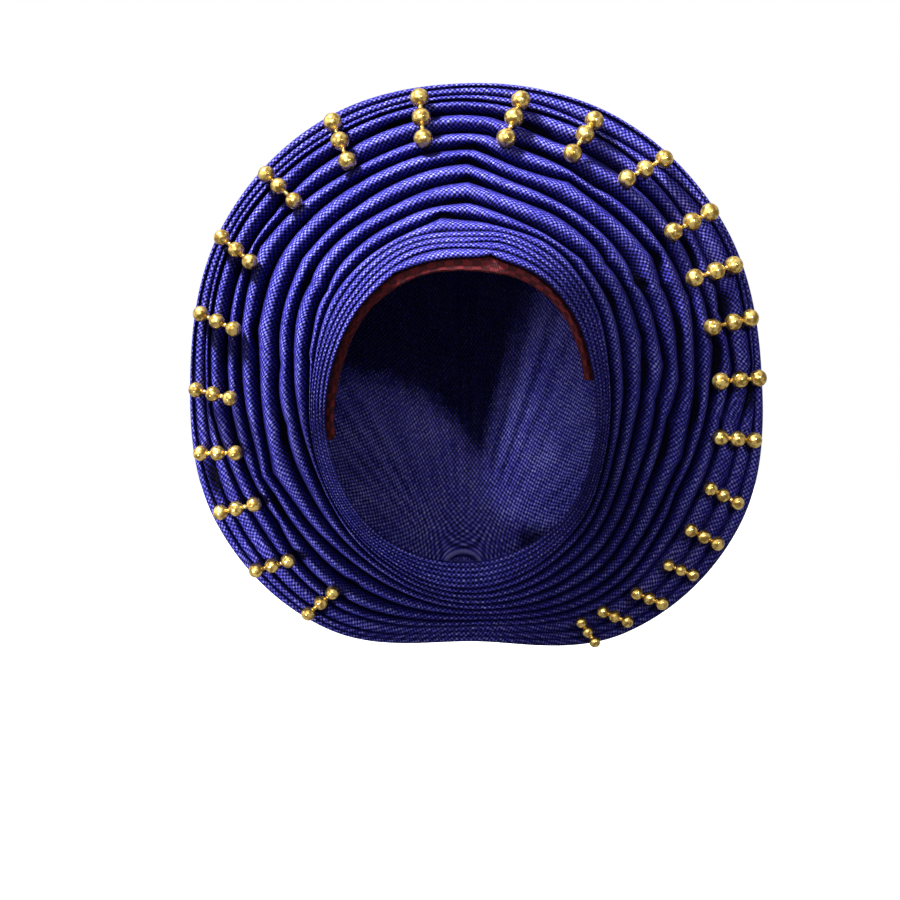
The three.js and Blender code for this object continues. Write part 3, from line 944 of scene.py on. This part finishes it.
# the camera looks straight along +Y; its lens gives the wanted millimetres per pixel at y = 0
def makeCamera():
    data = bpy.data.cameras.new("camera")
    data.sensor_width = view["sensor"]
    across = view["millimetresPerPixel"] * view["pixels"] * mm
    data.lens = view["sensor"] * view["distance"] / across
    data.clip_end = view["clipEnd"]
    camera = bpy.data.objects.new("camera", data)
    camera.location = (view["x"] * mm, -view["distance"], view["z"] * mm)
    camera.rotation_euler = (math.pi / 2, 0, 0)
    bpy.context.scene.collection.objects.link(camera)
    bpy.context.scene.camera = camera


# the floor's height and size are in metres; lobe and windowEdge are cosines of the angle from the
# middle of the glow and of the window, first where each begins and then where it is full
studio = {
    "floor": -0.42,
    "floorSize": 60.0,
    "paleness": 0.4,
    "floorGlow": 0.6,
    "backdrop": 1.0,
    "glowFrom": (-0.58, -0.36, 0.73),
    "lobe": (0.35, 1.0),
    "ambient": 0.035,
    "glow": 0.2,
    "shineAmbient": 0.45,
    "shineGlow": 1.3,
    "windowFrom": (-0.25, -0.93, 0.27),
    "windowEdge": (0.9, 0.98),
    "window": 3.4,
}

# suns: name, where it shines from, strength, softness in degrees, and if glossy surfaces show it
sunRows = [
    ("key", (-0.48, -0.25, 0.84), 12.5, 10, True),
    ("back", (0.35, 0.85, 0.40), 2.0, 25, False),
]

# spots: name, place, the point they are aimed at, irradiance there, cone in degrees, radius
spotRows = [
    ("low", (-0.42, -0.34, -0.36), (-0.135, 0.0, -0.20), 7.0, 20, 0.05),
    ("fill", (0.90, -2.00, 0.50), (0.19, -0.01, -0.03), 6.0, 7, 0.2),
]


# a lamp of either kind that the camera doesn't see
def makeLamp(name, kind, settings, place, shinesFrom, isReflected=True):
    light = bpy.data.lights.new(name, kind)
    for setting, value in settings.items():
        setattr(light, setting, value)
    lamp = bpy.data.objects.new(name, light)
    lamp.location = place
    lamp.rotation_euler = shinesFrom.to_track_quat("Z", "Y").to_euler()
    lamp.visible_camera = False
    lamp.visible_glossy = isReflected
    bpy.context.scene.collection.objects.link(lamp)


# a floor that glows a little, so that it stays pale in the shade; it lights nothing itself
def makeFloor():
    half = studio["floorSize"] / 2
    mesh = bpy.data.meshes.new("floor")
    corners = [(-half, -half), (half, -half), (half, half), (-half, half)]
    mesh.from_pydata([(x, y, studio["floor"]) for x, y in corners], [], [(0, 1, 2, 3)])
    floor = bpy.data.objects.new("floor", mesh)
    floor.visible_diffuse = False
    floor.visible_glossy = False
    bpy.context.scene.collection.objects.link(floor)
    fixed = {
        "Base Color": (studio["paleness"],) * 3 + (1,),
        "Roughness": 0.9,
        "Specular IOR Level": 0.1,
        "Emission Color": (1, 1, 1, 1),
        "Emission Strength": studio["floorGlow"],
    }
    material, _, _ = newMaterial("floorPaint", fixed)
    mesh.materials.append(material)


# the world shows a pale backdrop, and lights the tie with a soft glow round one direction over a
# weak fill; glossy surfaces see a brighter glow and a window instead
def makeWorld():
    world = bpy.data.worlds.new("studio")
    world.use_nodes = True
    bpy.context.scene.world = world
    start = Wire(world.node_tree)
    seen = start.add("ShaderNodeLightPath", {}, {}, "Is Camera Ray")
    shiny = start.add("ShaderNodeLightPath", {}, {}, "Is Glossy Ray")
    direction = start.add("ShaderNodeTexCoord", {}, {}, "Generated")
    lobe = facing(direction, studio["glowFrom"]).between(*studio["lobe"])
    light = lobe * studio["glow"] + studio["ambient"]
    window = facing(direction, studio["windowFrom"]).between(*studio["windowEdge"])
    shine = lobe * studio["shineGlow"] + studio["shineAmbient"] + window * studio["window"]
    strength = light + seen * (studio["backdrop"] - light) + shiny * (shine - light)
    background = world.node_tree.nodes["Background"]
    background.inputs["Color"].default_value = (1, 1, 1, 1)
    world.node_tree.links.new(strength.socket, background.inputs["Strength"])


# the cosine between a direction and a fixed one
def facing(direction, fixed):
    sockets = {0: direction, 1: Vector(fixed).normalized()}
    return direction.add("ShaderNodeVectorMath", {"operation": "DOT_PRODUCT"}, sockets, "Value")


# a spot's power is its irradiance times 4 pi and the distance squared
def makeStudio():
    makeFloor()
    for name, shinesFrom, strength, softness, isReflected in sunRows:
        settings = {"energy": strength, "angle": math.radians(softness)}
        makeLamp(name, "SUN", settings, (0, 0, 1), Vector(shinesFrom), isReflected)
    for name, place, target, strength, cone, radius in spotRows:
        away = Vector(place) - Vector(target)
        power = strength * 2 * turn * away.length_squared
        settings = {
            "energy": power,
            "spot_size": math.radians(cone),
            "spot_blend": 1.0,
            "shadow_soft_size": radius,
        }
        makeLamp(name, "SPOT", settings, place, away)
    makeWorld()
    bpy.context.scene.view_settings.view_transform = "Standard"


makeCamera()
makeStudio()
print("camera and studio made")
cloth = clothMaterial("blueCloth", blueCloth)
makePleatedFan(cloth)
makeBackWrap(cloth)
makeInnerBand(maroonMaterial(maroonCloth))
makeNapeKnot(cloth)
gold = goldMaterial(goldLook)
for number, row in enumerate(beadRows, 1):
    makeBeadStrip(number, *row, gold)
print("bead strips made:", len(beadRows))
